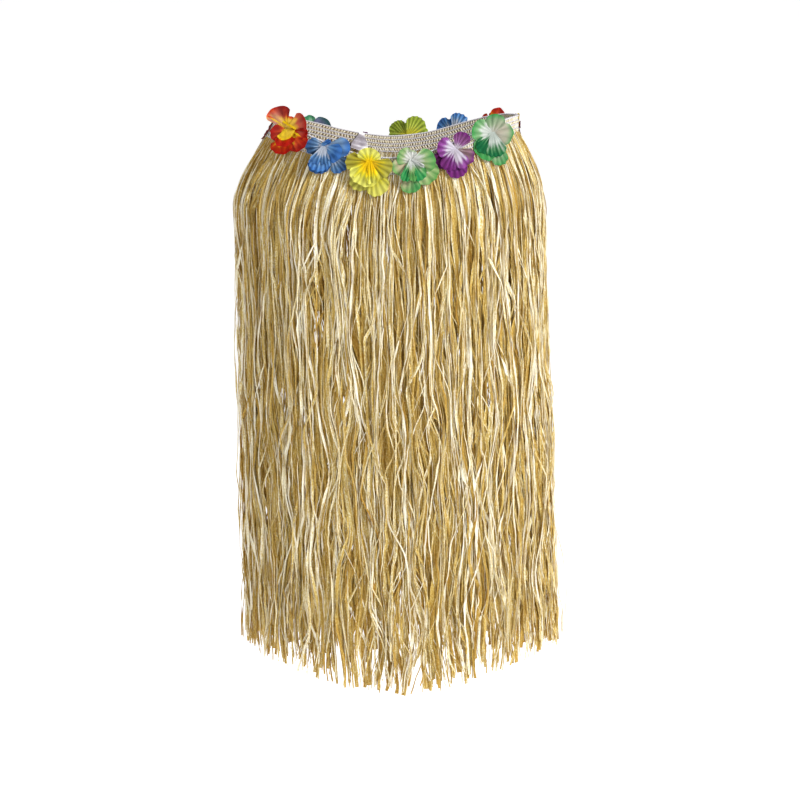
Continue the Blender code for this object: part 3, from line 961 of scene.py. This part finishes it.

# Petals, in millimetres and degrees: where the petal starts from the flower's middle, which
# way it points from the flower's right, its length and half spread, its tilt off the flower's
# plane and how much that changes to the rim, pleats in half of it, how far its pale heart
# reaches, how much of the darker colour it takes (darker dye and painted shade) and how grey
# it is. The last three may differ between its clockwise edge and its other edge.
PETAL_COLUMNS = (
    "across", "up", "direction", "reach", "spread", "tilt", "curl", "pleats", "pale", "dark_dye_and_shade",
    "grey",
)
OUTER_PETALS = {
    1: (
        (-4, 0.4, 102, 20.5, 28, 6, 0, 0.8, (0.75, 0.95), 0.2, (0.2, 0.45)),
        (-7.6, 3, 133, 38.5, 30, 14, -8, 1.4, (0.3, 0.85), (0.9, 0), (0.1, 1)),
        (-7.6, 3.4, 157, 32.5, 12, 13, -8, 1, (0.5, 1), 0, (0.45, 0.25)),
        (-3.6, 0.4, 15, 34.5, 58, 10, -6, 1.6, (0.4, 0.5), (0.1, 0.15), (0.25, 0.35)),
        (-1.3, -2.8, -162, 25.7, 37, 10, -4, 1.6, 0.32, (0.3, 0.45), 0.1),
        (3.6, -3.4, -27, 35.9, 31, 8, 0, 1.8, 0.42, (0.05, 0.12), (0.1, 0)),
        (-2.6, -11.1, -80, 27.4, 50, 6, 4, 2, (0.5, 0.42), (0, 0.1), 0),
    ),
    2: (
        (-10.5, 10.1, -166, 25.4, 37, 12, -6, 2.2, 0.4, (0.45, 0.9), (0.45, 0.1)),
        (-7.7, 10, 21, 37, 27, 12, -6, 1.2, 0.42, (0.05, 0), (0.25, 0.85)),
        (4.2, 0.8, -28, 30, 35, 6, 2, 2.6, 0.46, (0.35, 0.55), (0.25, 0.6)),
        (-9.6, 0.8, -82, 31.5, 38, 6, 4, 2.6, 0.42, 0.45, 0),
    ),
    3: (
        (-5.3, 12.1, -174, 30.1, 33, 8, 0, 2, 0.42, (0.75, 0.7), (0.2, 0.1)),
        (2, 12.6, -17, 33.4, 34, 10, 0, 2, 0.4, (0.42, 0.55), (0.15, 0.2)),
        (-2.2, 0.6, -113, 32.8, 32, 4, 6, 2.4, 0.3, (0.3, 0.45), 0),
        (5.1, 1.7, -60, 37.3, 34, 4, 6, 2.6, 0.3, (0.25, 0.35), 0),
        (-0.9, 12.7, 96, 23, 60, 16, -8, 2.6, 0.26, (0.05, 0), 0),
    ),
    4: (
        (-0.6, 15.7, -155, 31.1, 33, 8, 0, 1.6, 0.55, (0.05, 0), 0.9),
        (-0.6, 14, 72, 16, 30, 8, 0, 1.2, 0.9, 0, 0.1),
        (-0.6, 13.5, 138, 24.5, 42, 12, -6, 2.2, (0.7, 0.4), (0.1, 0.3), (0.1, 0.25)),
        (-0.6, 12.5, -3, 34, 40, 12, -6, 2.2, (0.42, 0.5), (0.15, 0.3), (0.25, 0.1)),
        (3, 10.6, -51, 38.8, 35, 6, 4, 2.2, (0.58, 0.52), 0, (0.2, 0.1)),
        (-4.9, -1.6, -100, 30.7, 33, 6, 6, 2.2, 0.34, (0.05, 0.6), (0.7, 0)),
    ),
    5: (
        (3.1, 5, -45, 31.2, 27, 8, 0, 1.4, 0.35, 0.1, 0.85),
        (3.1, 6, -160, 37, 28, 6, 2, 2.2, 0.3, (0.85, 0.7), 0),
        (0.3, -2.6, -103, 31.8, 37, 4, 6, 2.6, 0.3, (0.35, 0.2), 0),
        (6, 6.9, 48, 27, 35, 14, -8, 2.6, 0.28, (0.1, 0.15), 0.25),
        (3.1, 6, 146, 29.3, 38, 14, -8, 2, (0.62, 0.54), (0, 0.1), 0),
    ),
    6: (
        (3.1, 9.1, 47, 30, 13, 2, 0, 1, (0.95, 0.3), (0.1, 1), 0),
        (-2.6, 4.4, -140, 34.6, 39, 4, 6, 2.2, 0.45, (0, 0.1), 0),
        (2.7, -6.7, -95, 33, 32, 4, 6, 2.2, 0.5, (0, 0.35), (0.3, 0)),
        (3.1, 9.1, -25, 31, 41, 10, -4, 1.4, 0.55, 0, 0.9),
        (3.1, 9.1, 64, 30.7, 38, 12, -6, 1.8, 0.35, (0.15, 0.25), (0.8, 0.45)),
        (0.2, 9.9, 147, 32.5, 40, 12, -6, 2.2, 0.56, 0, 0.1),
    ),
    7: (
        (0, 1, 128, 15, 32, 1, 0, 1.2, 1.3, 0, 0),
        (0, 1, 52, 13, 34, 1, 0, 1.2, 0.6, (0.5, 0.8), 0),
        (0, 0, -14, 11, 36, 1, 0, 1.2, 0.4, 1.5, 0),
        (0, -2, -88, 16, 32, 1, 0, 1.2, 0.3, 1.5, 0),
        (0, 0, -160, 12, 36, 1, 0, 1.2, 0.4, (1.5, 1.3), 0),
    ),
    8: (
        (-4.2, -3.6, 110, 26.6, 36, 8, 4, 1.4, (0.6, 0.36), (0, 0.1), (0, 0.3)),
        (2, -2.2, 22, 26.6, 38, 12, 0, 1.4, 0.5, (0.4, 0), 0),
        (0, 0, -34, 26.6, 36, 8, 4, 2, 0.45, (0.2, 0.1), (0, 0.1)),
        (0, 0, -104, 26.6, 36, 8, 4, 2, 0.4, (0.1, 0.2), (0.1, 0)),
        (0, 0, -176, 26.6, 36, 8, 4, 2, 0.45, (0.2, 0.1), (0, 0.1)),
    ),
    9: (
        (-1, -1.9, 127, 30.5, 30, 8, 4, 2.8, 0.6, (0, 0.06), 0),
        (5, -3.6, 50, 28.8, 38, 14, -2, 2.8, 0.45, (0.04, 0.14), 0),
        (0, 0, -15, 30, 36, 8, 4, 2.4, 0.4, (0.08, 0.04), (0, 0.2)),
        (0, 0, -87, 30, 36, 8, 4, 2.4, 0.4, (0.04, 0.08), (0.2, 0)),
        (0, 0, -159, 30, 36, 8, 4, 2.4, 0.4, (0.08, 0.04), (0, 0.1)),
    ),
    10: (
        (-1.5, -0.4, 131, 31.4, 38, 8, 4, 3.4, (0.3, 0.46), (0, 0.1), 0),
        (2.6, -2.4, 49, 31, 32, 22, -2, 3.4, 0.34, 0.2, 0),
        (0, 0, -20, 30.5, 36, 8, 4, 2.6, 0.4, 0.1, (0, 0.1)),
        (0, 0, -92, 30.5, 36, 8, 4, 2.6, 0.4, (0.1, 0.2), (0.1, 0)),
        (0, 0, -166, 31.5, 36, 8, 4, 2.6, 0.4, (0.2, 0.1), (0, 0.1)),
    ),
    11: (
        (0, 0, 92, 27, 17, 8, 4, 1.6, 0.3, (0.9, 0.7), 0),
        (0, 0, 24, 28, 36, 8, 4, 2.4, 0.42, (0.1, 0.2), 0),
        (0, 0, -48, 28, 36, 8, 4, 2.4, 0.42, (0.2, 0.1), (0, 0.2)),
        (0, 0, -124, 28, 36, 8, 4, 2.4, 0.42, (0.1, 0.2), (0.2, 0)),
        (0, 0, 160, 28, 36, 8, 4, 2.4, 0.42, (0.2, 0.1), (0, 0.1)),
    ),
    12: (
        (0.5, -1.8, 133, 31.9, 52, 6, 2, 1.6, 0.2, (0.15, 1), (1.1, 0.6)),
        (4, 0, 54, 31, 29, 8, 4, 1.6, 0.72, (0, 0.4), 0),
        (0, 0, 218, 31, 36, 8, 4, 2.4, 0.4, (0.3, 0.2), 0.1),
        (0, 0, 290, 30, 38, 8, 4, 2.4, 0.4, (0.1, 0.2), (0, 0.1)),
        (0, 0, 2, 31.5, 36, 8, 4, 2.4, 0.4, (0.2, 0.1), (0.1, 0)),
    ),
    13: (
        (0, 0, 92, 20.5, 34, 1, 0, 1.6, 0.3, 0.8, 0),
        (0, 0, 20, 20.5, 36, 1, 0, 1.6, 0.4, 0.8, 0),
        (0, 0, -52, 20.5, 36, 1, 0, 1.6, 0.4, (0.9, 0.7), 0),
        (0, 0, -124, 20.5, 36, 1, 0, 1.6, 0.4, 0.6, 0),
        (0, 0, 164, 20.5, 36, 1, 0, 1.6, 0.4, 0.6, 0),
    ),
}
INNER_PETALS = {
    1: (
        (-18.6, 12.5, -15, 30, 2, 14, 0, 1, 1.3, 0, 0),
        (1.8, 1, 4, 32.2, 17, 30, -20, 1.2, 0.12, (0.35, 0.55), 0),
        (-3.6, -4.9, -67, 22.2, 55, 34, -10, 1.6, (0.34, 0.3), (0, 0.1), 0),
        (-5.3, 0, -56, 17.6, 56, 38, -16, 1.4, 1.05, 0, (0.1, 0.2)),
    ),
    2: (
        (-7.7, 11, -11, 28.6, 37, 24, -14, 1.8, 0.22, (0.3, 0.1), 0),
        (-16.3, 9, 49, 21.6, 12, 20, 0, 1, 0.2, 0, 0),
        (-9.5, 9.1, -81, 35, 34, 24, -14, 3.4, 0.52, (0, 0.1), 0.1),
        (-10.5, 10.1, -82, 28, 34, 34, -26, 2.8, 0.56, (0.4, 0.5), 0),
    ),
    3: (
        (-2.4, 10.7, -127, 33.6, 26, 22, -10, 1.8, 0.3, (0, 0.1), 0),
        (-0.9, 12.7, -92, 35.6, 42, 26, -18, 2.6, 0.46, (0.1, 0), 0),
        (0.4, 12.7, -74, 33.6, 13, 34, -22, 0.9, 0.5, 0, 0),
    ),
    4: (
        (-0.6, 15.7, -120, 35.1, 16, 28, -18, 2.2, (0.34, 0.3), (0.7, 0.85), 0),
        (-0.9, 14.3, -70, 32, 28, 30, -22, 2.6, (0.22, 0.52), (0.85, 0.65), 0),
        (-1.3, 13, -98, 30.1, 13, 36, -26, 1.4, (0.4, 0.28), (0.1, 0.25), 0),
        (0.4, 16.2, -38, 22.5, 8, 34, -10, 1, 1.3, 0, 0),
    ),
    5: (
        (3.1, 6, -136, 33.9, 28, 24, -16, 2.2, 0.34, (0.6, 0.2), 0),
        (3.1, 6, -79, 29.6, 25, 30, -22, 1.4, (0.68, 0.62), 0, (0.2, 0)),
    ),
    6: (
        (3.1, 9.1, -146, 34.1, 27, 20, -12, 2.2, (0.34, 0.28), 0.95, 0),
        (3.1, 9.1, -94, 37, 28, 28, -20, 2.8, (0.56, 0.64), (1, 0.95), 0),
    ),
    7: (
        (0, 1, 90, 9, 44, 2, 0, 1.2, 0.9, (0, 0.1), 0),
        (0, 0, -30, 9, 44, 2, 0, 1.2, 0.6, 0.5, 0),
        (0, 0, -150, 9, 44, 2, 0, 1.2, 0.6, 0.5, 0),
    ),
    13: (
        (0, 0, 60, 15, 44, 4, 2, 1.6, 0.6, 0.6, 0),
        (0, 0, -60, 15, 44, 4, 2, 1.6, 0.6, (0.7, 0.5), 0),
        (0, 0, 180, 15, 44, 4, 2, 1.6, 0.6, 0.5, 0),
    ),
}
MM = 0.001
PETAL_GRID = (13, 37)
PETAL_FULLNESS = 1.16
PLEAT_HEIGHT = 0.0015
PETAL_WAVE = 0.0016
OUTER_CRUMPLE = 0.0009
INNER_CRUMPLE = 0.0019
CREASE_WAYS = 3
CREASE_COUNTS = (5.5, 13.0)
CREASE_SHARE = 0.9
CREASE_MARK = 0.55
PETAL_STEP = 0.0005
WRAP_FLATNESS = 0.65
FLOWER_STAND = 0.0030
INNER_STAND = 0.0016
HEART = 0.02
PETAL_ROOT_BACK = 0.06
PETAL_ROOT_HALF = 0.07
# How a petal's pleats drift and its rim is cut, in shares of its length.
PLEAT_UNEVEN = 0.10
PLEAT_POWER = 1.2
RIM_LOBE = 0.012
RIM_WAVE = 0.030
RIM_DROP = 0.24
RIM_POWER = 2.6
ROOT_SPREAD = 0.90
# Waves over a petal: how fast across it, how fast along it, and how far its own phase moves it.
PLEAT_DRIFT = (2.3, 0.0, 2.0)
RIM_SWAY = (2.6, 0.0, 1.0)
CUP = (2.4, 0.0, 1.3)
DENTS = ((5.1, 6.3, 1.0), (3.7, -5.2, 2.0))
# Where along a petal its bend is worked out, and how far a mark's change runs past its edges.
BEND_AT = np.linspace(-0.1, 1.1, 60)
MARK_ENDS = (-0.1, 1.1)
# The fringe stands out this far beyond the flare, a little below the band.
FRINGE_CLEAR = 0.0020
FRINGE_CLEAR_BY = 0.02

# Inner petals that no table gives: how many, how long in millimetres, how much of the darker
# colour they take (darker dye and painted shade), and the ranges of each petal's own turn,
# share of the length, spread, tilt, curl, pleats, pale heart and grey.
PLAIN_COUNT = 4
PLAIN_REACH = 22.4
PLAIN_DYE_AND_SHADE = (0.0, 0.30)
PLAIN_DYE_AND_SHADE_FADE = 0.6
PLAIN_RANGES = (
    (-6.0, 6.0), (0.95, 1.05), (34.0, 40.0), (26.0, 35.0), (-22.0, -10.0), (2.2, 3.0),
    (0.30, 0.50), (0.0, 0.25),
)


def plain_petals(rng, flower):
    """A row for each inner petal of a flower that has none in the table."""
    rows = []
    for number in range(PLAIN_COUNT):
        dark_dye_and_shade = rng.uniform(*PLAIN_DYE_AND_SHADE)
        turn, reach, spread, tilt, curl, pleats, pale, grey = (
            rng.uniform(*ends) for ends in PLAIN_RANGES
        )
        direction = flower["spin"] + 360.0 * number / PLAIN_COUNT + turn
        rows.append((
            0.0, 0.0, direction, PLAIN_REACH * flower["size"] * reach, spread, tilt, curl,
            pleats, pale, (dark_dye_and_shade, PLAIN_DYE_AND_SHADE_FADE * dark_dye_and_shade), (0.0, grey),
        ))
    return rows


def garment_out(angle, up_by):
    """How far out the garment's surface lies behind a petal at this height."""
    below = np.maximum(-0.5 * BAND_HEIGHT - up_by, 0.0)
    _, out, _ = waist_axes(angle)
    drop = below * np.cos(lean(angle))
    flared = np.sum(flare(angle, drop) * out, axis=-1) - below * np.sin(lean(angle))
    clear = FRINGE_CLEAR * np.clip(drop / FRINGE_CLEAR_BY, 0.0, 1.0)
    return BAND_OUT + np.maximum(flared + clear, 0.0)


def flower_frame(flower):
    """Adds the flower's place and its own axes: right, up and facing."""
    angle = np.array(math.radians(flower["angle"]))
    along, out, up = waist_axes(angle)
    turn = math.radians(flower["turn"])
    flower["travelled"] = length_at(float(angle))
    flower["along"] = along
    flower["middle"] = waist_middle(angle) + up * flower["rise"] + out * BAND_OUT
    flower["right"] = along * math.cos(turn) - out * math.sin(turn)
    flower["facing"] = out * math.cos(turn) + along * math.sin(turn)
    flower["upward"] = up


def zigzag(turn):
    """A wave of straight slopes, from -1 to 1."""
    return np.arcsin(np.sin(turn)) / (0.5 * math.pi)


def bent(ahead, petal):
    """How far out and how high the petal's tilt and curl bring these distances along it."""
    slopes = np.radians(petal["tilt"] + petal["curl"] * BEND_AT)
    steps = np.diff(BEND_AT)
    gone = BEND_AT[0] + summed(np.cos(slopes[1:]) * steps)
    risen = summed(np.sin(slopes[1:]) * steps)
    return np.interp(ahead, BEND_AT, gone), np.interp(ahead, BEND_AT, risen)


def petal_points(rng, petal, flower, stand, crumple):
    """A fan of pleated cloth that bends about lines across its direction.

    Gives its points, UVs, flat area, rim laid flat and the lie of its folds.
    """

    def wave(across, along, moved):
        return np.sin(across * u + along * v + moved * phase)

    v = np.linspace(HEART, 1.0, PETAL_GRID[0])[:, None]
    u = np.linspace(-1.0, 1.0, PETAL_GRID[1])[None, :]
    radius = MM * petal["reach"]
    phase = rng.uniform(0.0, 2.0 * math.pi)
    uneven = 1.0 + PLEAT_UNEVEN * wave(*PLEAT_DRIFT)
    ridge = zigzag(2.0 * math.pi * petal["pleats"] * u * uneven + phase)
    rim = 1.0 - RIM_DROP * np.abs(u) ** RIM_POWER
    rim = rim + RIM_LOBE * ridge + RIM_WAVE * wave(*RIM_SWAY)
    share = v * rim
    turn = math.radians(PETAL_FULLNESS * petal["spread"]) * u * between((ROOT_SPREAD, 1.0), v)
    ahead = share * np.cos(turn) - PETAL_ROOT_BACK * (1.0 - v)
    aside = share * np.sin(turn) + PETAL_ROOT_HALF * u * (1.0 - v)
    forward, height = (radius * way for way in bent(ahead, petal))
    relief = PLEAT_HEIGHT * flower["pleat"] * ridge * share ** PLEAT_POWER
    relief = relief + PETAL_WAVE * wave(*CUP) * share ** 2
    dents = wave(*DENTS[0]) * wave(*DENTS[1])
    creases = np.zeros_like(share)
    for way, start in rng.uniform(0.0, math.pi, (CREASE_WAYS, 2)):
        place = CREASE_COUNTS[0] * u * math.cos(way) + CREASE_COUNTS[1] * v * math.sin(way)
        creases = creases + zigzag(place + start) / CREASE_WAYS
    relief = relief + crumple * (dents + CREASE_SHARE * creases) * share
    relief = relief * flower["size"] ** 2 * (1.0 - WRAP_FLATNESS * flower["wrap"])
    direction = math.radians(petal["direction"])
    cos, sin = math.cos(direction), math.sin(direction)
    lateral = radius * aside
    sideways = MM * petal["across"] + forward * cos - lateral * sin
    up_by = MM * petal["up"] + forward * sin + lateral * cos
    points = (
        flower["middle"]
        + sideways[..., None] * flower["right"]
        + up_by[..., None] * flower["upward"]
        + (stand + height + relief)[..., None] * flower["facing"]
    )
    travelled = flower["travelled"] + (points - flower["middle"]) @ flower["along"]
    angle = angle_at(travelled)
    above = flower["rise"] + up_by
    garment = waist_point(angle, garment_out(angle, above) + stand + relief, above)
    _, out, _ = waist_axes(angle)
    points = points + (garment + out * height[..., None] - points) * flower["wrap"]
    sunk = np.sum((garment - points) * out, axis=-1)
    points = points + np.maximum(sunk, 0.0)[..., None] * out
    uvs = stacked(0.5 + 0.5 * u, share)
    edge = radius * stacked(
        ahead[-1] * cos - aside[-1] * sin, ahead[-1] * sin + aside[-1] * cos
    )
    area = 0.5 * float(np.sum(edge[:-1, 0] * edge[1:, 1] - edge[1:, 0] * edge[:-1, 1]))
    # The fold mark carries the pleats and creases into the colour, where they become painted
    # light and shade.
    fold = flower["pleat"] * ridge + CREASE_MARK * crumple / INNER_CRUMPLE * creases
    fold = np.clip(fold, -1.0, 1.0) * np.clip(2.0 * share, 0.0, 1.0)
    return points, uvs, area, edge, fold


def across_petal(values):
    """A mark over a petal: one value, or one at its clockwise edge and one at its other edge."""
    ends = values if isinstance(values, tuple) else (values, values)
    share = ease(np.linspace(*MARK_ENDS, PETAL_GRID[1]))
    return np.broadcast_to(between(ends, share), PETAL_GRID)


def build_layer(rng, name, rows, flower, stand, crumple, node, finish):
    """The front or the back petals of a flower, as one piece."""
    points, uvs, flat_area = [], [], 0.0
    marks = {"own": [], "pale": [], "dark_dye_and_shade": [], "grey": [], "fold": []}
    edges = [np.zeros((1, 2))]
    for number, values in enumerate(rows):
        petal = dict(zip(PETAL_COLUMNS, values))
        place, uv, area, edge, fold = petal_points(
            rng, petal, flower, stand + PETAL_STEP * number, crumple
        )
        points.append(place)
        uvs.append(uv)
        marks["own"].append(np.full(PETAL_GRID, rng.random()))
        for mark in ("pale", "dark_dye_and_shade", "grey"):
            marks[mark].append(across_petal(petal[mark]))
        marks["fold"].append(fold)
        flat_area += area
        edges.append(edge)
    grids = many_grids(len(rows), *PETAL_GRID)
    piece = mesh_object(name, points, grids, finish, uvs, "petal", marks)
    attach(piece, "root")
    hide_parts(node)
    sides = np.ptp(np.concatenate(edges), axis=0)
    flat_area = min(flat_area, float(sides.prod()))


def build_flowers(rng):
    """The flowers, each with a piece for its back petals and one for its front petals."""
    finishes = {name: petal_finish(name) for name in PETAL_LOOKS}
    for number, values in enumerate(FLOWERS, start=1):
        flower = dict(zip(FLOWER_COLUMNS, values))
        flower_frame(flower)
        outer = OUTER_PETALS[number]
        inner = INNER_PETALS.get(number) or plain_petals(rng, flower)
        finish = finishes[flower["look"]]
        stem = f"flower_{number:02d}"
        flatness = 1.0 - WRAP_FLATNESS * flower["wrap"]
        stand = FLOWER_STAND * flower["size"] ** 2 * flatness
        build_layer(
            rng, stem + "_back_petals", outer, flower, stand, OUTER_CRUMPLE,
            stem + "_outer", finish,
        )
        build_layer(
            rng, stem + "_front_petals", inner, flower, stand + INNER_STAND * flatness,
            INNER_CRUMPLE, stem + "_inner", finish,
        )


# ---------------------------------------------------------------- tag

TAG_ANGLE = math.radians(106.4)
TAG_WIDTH = 0.019
TAG_TOP = 0.0135
TAG_LENGTH = 0.027
TAG_SIDE = -0.0002
TAG_CURL = 0.005
TAG_GRID = (25, 13)
# The tag is narrow at its fold and splays to its foot. Its top part lifts off the band, the
# half towards -X bulges, and the foot slants.
TAG_WIDTH_AT_TOP = 0.48
TAG_SPLAY = 0.90
TAG_SPLAY_BY = 1.3
TAG_SLANT = 0.003
TAG_LIFT = 0.0016
TAG_LIFT_PART = 3.0
TAG_BULGE = 0.0044
TAG_CLEAR = 0.0008


def build_tag():
    """The blank ribbon that hangs inside the back of the band."""
    rows, columns = TAG_GRID
    down = np.linspace(0.0, 1.0, rows)[:, None]
    across = np.linspace(-0.5, 0.5, columns)[None, :]
    width = TAG_WIDTH * (TAG_WIDTH_AT_TOP + TAG_SPLAY * ease(down * TAG_SPLAY_BY))
    sideways = width * across + TAG_SIDE
    up_by = TAG_TOP - TAG_LENGTH * down + TAG_SLANT * across * down
    lift = TAG_LIFT * np.sin(math.pi * np.clip(down * TAG_LIFT_PART, 0.0, 1.0))
    bulge = TAG_BULGE * np.maximum(across, 0.0) * np.sin(math.pi * down)
    inward = BAND_OUT + TAG_CLEAR + TAG_CURL * down ** 2 + lift + bulge
    angle = angle_at(length_at(TAG_ANGLE) + sideways)
    points = waist_point(angle, -inward, up_by)
    uvs = stacked(across + 0.5, down * TAG_LENGTH)
    faces = grid_faces(rows, columns)
    piece = mesh_object("satin_tag", points, faces, satin_finish(), uvs, "ribbon")
    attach(piece, "root")
    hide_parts("tag")


# ---------------------------------------------------------------- stage

VIEW_DISTANCE = 8.0
VIEW_ELEVATION = math.radians(12.0)
VIEW_TARGET = Vector((0.00975, 0.0, -0.396))
VIEW_WIDTH = 1.2
SENSOR = 36.0
CLIP_END = 200.0
FLOOR_LEVEL = -1.35
FLOOR_HALF = 60.0
FLOOR_GLOW = 0.45
FLOOR_GREYS = ((0.0, 0.93), (1.0, 0.97))


def look_at(thing, target):
    """Turns a camera or a light to face the target."""
    thing.rotation_mode = "QUATERNION"
    thing.rotation_quaternion = (target - thing.location).to_track_quat("-Z", "Y")


def build_camera():
    """The photo's view: from far off, and a little above."""
    data = bpy.data.cameras.new("camera")
    data.sensor_width = SENSOR
    data.lens = SENSOR * VIEW_DISTANCE / VIEW_WIDTH
    data.clip_end = CLIP_END
    camera = add_object("camera", data)
    back = Vector((0.0, -math.cos(VIEW_ELEVATION), math.sin(VIEW_ELEVATION)))
    camera.location = VIEW_TARGET + back * VIEW_DISTANCE
    look_at(camera, VIEW_TARGET)
    bpy.context.scene.camera = camera


LIGHTS = (
    # name, place, size, power, colour
    ("key", (2.8, -2.3, 1.9), 0.9, 180.0, (1.0, 0.985, 0.96)),
    ("fill", (-2.8, -2.6, 0.6), 2.0, 14.0, (0.97, 0.98, 1.0)),
    ("top", (0.3, 0.8, 2.6), 1.6, 40.0, (1.0, 1.0, 1.0)),
)
LIGHT_TARGET = Vector((0.0, 0.0, -0.35))
WORLD_LIGHT = 0.57
WHITE = (1.0, 1.0, 1.0, 1.0)


def build_lights():
    """Three soft lights, and even white light from all round."""
    for name, place, size, power, colour in LIGHTS:
        data = bpy.data.lights.new(name, "AREA")
        data.shape = "SQUARE"
        data.size = size
        data.energy = power
        data.color = colour
        light = add_object(name, data)
        light.location = place
        look_at(light, LIGHT_TARGET)
    world = bpy.data.worlds.new("studio")
    world.use_nodes = True
    background = world.node_tree.nodes["Background"]
    background.inputs[0].default_value = WHITE
    background.inputs[1].default_value = WORLD_LIGHT
    bpy.context.scene.world = world


def build_floor():
    """A floor as plain and white as the photo's background."""
    n = Nodes("floor_look")
    grain = n.noise(n.add("TexCoord").outputs["Object"], 3.0, 2.0)
    colour = n.ramp(grain, [(place, (grey, grey, grey, 1.0)) for place, grey in FLOOR_GREYS])
    finish = n.finish(
        colour, n.bump(grain, 0.0001), roughness=0.9, Emission_Color=WHITE,
        Emission_Strength=FLOOR_GLOW,
    )
    ways = ((-1.0, -1.0), (1.0, -1.0), (1.0, 1.0), (-1.0, 1.0))
    points = np.array([(FLOOR_HALF * x, FLOOR_HALF * y, FLOOR_LEVEL) for x, y in ways])
    faces = np.array([[0, 1, 2, 3]])
    floor = mesh_object("floor", points, faces, finish, points[:, :2], "floor")


def main():
    rng = np.random.default_rng(SEED)
    bpy.context.scene.view_settings.view_transform = "Standard"
    build_camera()
    build_lights()
    build_floor()
    fringe = build_fringe(rng)
    build_band(rng)
    build_flowers(rng)
    build_tag()


main()
